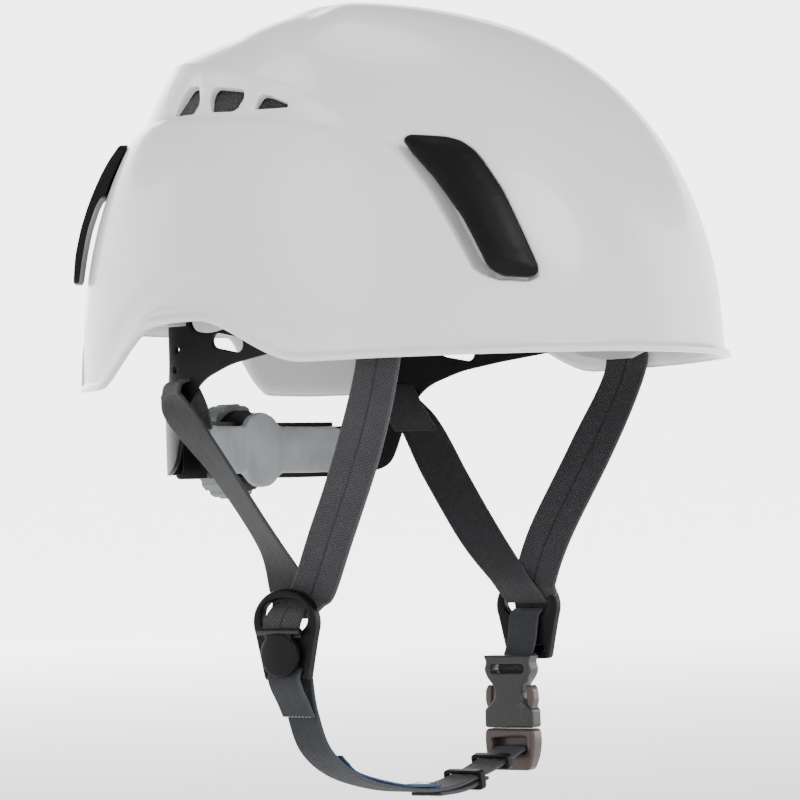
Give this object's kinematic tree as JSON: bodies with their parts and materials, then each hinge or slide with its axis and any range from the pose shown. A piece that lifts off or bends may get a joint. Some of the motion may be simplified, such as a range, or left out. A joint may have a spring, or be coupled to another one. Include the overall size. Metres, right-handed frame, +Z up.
{
  "type": "climbing helmet",
  "caption": "Hard-shell climbing helmet with foam liner, vents, headlamp clips, nape wheel adjuster, divided webbing and side-release chin buckle.",
  "frame": {"origin": "centre of the head opening, level with the widest part of the shell", "axes": "+Z up, -Y the way the wearer looks, +X the wearer's left"},
  "size_m": [0.2174, 0.2734, 0.3218],
  "materials": {
    "shell": "glossy white moulded plastic",
    "foam": "moulded bead foam",
    "mesh": "fine dark mesh",
    "black_plastic": "matte black moulded plastic",
    "anchor": "grey-white moulded plastic",
    "pad": "grey foam with a smooth fabric face",
    "grip": "grey-green soft rubber",
    "webbing": "grey woven webbing",
    "lining": "dark blue woven webbing",
    "buckle": "dark grey acetal",
    "prong": "brown-grey acetal",
    "rubber": "black rubber",
    "steel": "zinc-plated steel",
    "rack": "black nylon"
  },
  "bodies": {
    "helmet": {"outer_shell": "shell", "vent_mesh_right": "mesh", "vent_mesh_left": "mesh", "foam_liner": "foam", "crown_pad": "pad", "brow_pad": "pad", "headband": "black_plastic", "front_clip_right": "black_plastic", "front_clip_left": "black_plastic", "rear_clip_right": "black_plastic", "rear_clip_left": "black_plastic", "front_anchor_right": "anchor", "front_anchor_left": "anchor", "rear_hanger_right": "anchor", "rear_hanger_left": "anchor", "arm_rivets": "rack", "side_arm_right": "black_plastic", "side_arm_left": "black_plastic", "front_strap_right": "webbing", "front_strap_left": "webbing", "rear_strap_right": "webbing", "rear_strap_left": "webbing", "divider_right": "black_plastic", "divider_left": "black_plastic", "divider_pin_right": "steel", "divider_pin_left": "steel", "buckle_strap": "webbing", "buckle_socket": "buckle", "chin_strap": "webbing"},
    "nape": {"nape_housing": "black_plastic", "nape_cover": "black_plastic", "nape_pad": "pad", "detent_pawl": "rack", "cover_screws": "steel"},
    "wheel": {"adjuster_wheel": "black_plastic", "wheel_grip": "grip", "wheel_pinion": "rack", "wheel_screw": "steel"},
    "rack_right": {"rack_right": "rack"},
    "rack_left": {"rack_left": "rack"},
    "lever_right": {"divider_lever_right": "black_plastic"},
    "lever_left": {"divider_lever_left": "black_plastic"},
    "plug": {"buckle_plug": "prong", "chin_lining": "lining", "strap_tail": "webbing"},
    "prong_front": {"buckle_prong_front": "prong"},
    "prong_rear": {"buckle_prong_rear": "prong"},
    "keeper_upper": {"strap_keeper_upper": "rubber"},
    "keeper_lower": {"strap_keeper_lower": "rubber"}
  },
  "joints": [
    {"name": "wheel_turn", "type": "hinge", "parent": "nape", "child": "wheel", "pos_m": [0, 0.0755, -0.0365], "axis": [0, 1, 0], "range_deg": [-95, 95]},
    {"name": "nape_slide", "type": "slide", "parent": "helmet", "child": "nape", "axis": [0, -1, 0], "range_m": [-0.00761, 0.00761]},
    {"name": "rack_right_slide", "type": "slide", "parent": "helmet", "child": "rack_right", "axis": [0.8, -0.6, 0], "range_m": [-0.01268, 0.01268], "deforming": ["side_arm_right", "rear_strap_right"]},
    {"name": "rack_left_slide", "type": "slide", "parent": "helmet", "child": "rack_left", "axis": [-0.8, -0.6, 0], "range_m": [-0.01268, 0.01268], "deforming": ["side_arm_left", "rear_strap_left"]},
    {"name": "lever_right_turn", "type": "hinge", "parent": "helmet", "child": "lever_right", "pos_m": [-0.0813, 0, -0.1095], "axis": [0, 1, 0], "range_deg": [0, 75]},
    {"name": "lever_left_turn", "type": "hinge", "parent": "helmet", "child": "lever_left", "pos_m": [0.0813, -0.014, -0.1095], "axis": [0, -1, 0], "range_deg": [0, 75]},
    {"name": "buckle_release", "type": "slide", "parent": "helmet", "child": "plug", "axis": [0, 0, -1], "range_m": [0, 0.022], "deforming": ["chin_strap"]},
    {"name": "prong_front_squeeze", "type": "hinge", "parent": "plug", "child": "prong_front", "pos_m": [0.067, -0.0164, -0.1558], "axis": [-1, 0, 0], "range_deg": [0, 5], "stiffness_Nm_per_rad": 0.05},
    {"name": "prong_rear_squeeze", "type": "hinge", "parent": "plug", "child": "prong_rear", "pos_m": [0.067, -0.0036, -0.1558], "axis": [1, 0, 0], "range_deg": [0, 5], "stiffness_Nm_per_rad": 0.05},
    {"name": "keeper_upper_slide", "type": "slide", "parent": "plug", "child": "keeper_upper", "axis": [0.9678, 0, 0.2516], "range_m": [-0.004, 0.004]},
    {"name": "keeper_lower_slide", "type": "slide", "parent": "plug", "child": "keeper_lower", "axis": [0.9859, 0, 0.1676], "range_m": [-0.006, 0.004]}
  ],
  "couplings": [
    {"joint": "nape_slide", "follows": "wheel_turn", "m_per_rad": 0.0045},
    {"joint": "rack_right_slide", "follows": "wheel_turn", "m_per_rad": 0.0075},
    {"joint": "rack_left_slide", "follows": "wheel_turn", "m_per_rad": 0.0075}
  ]
}
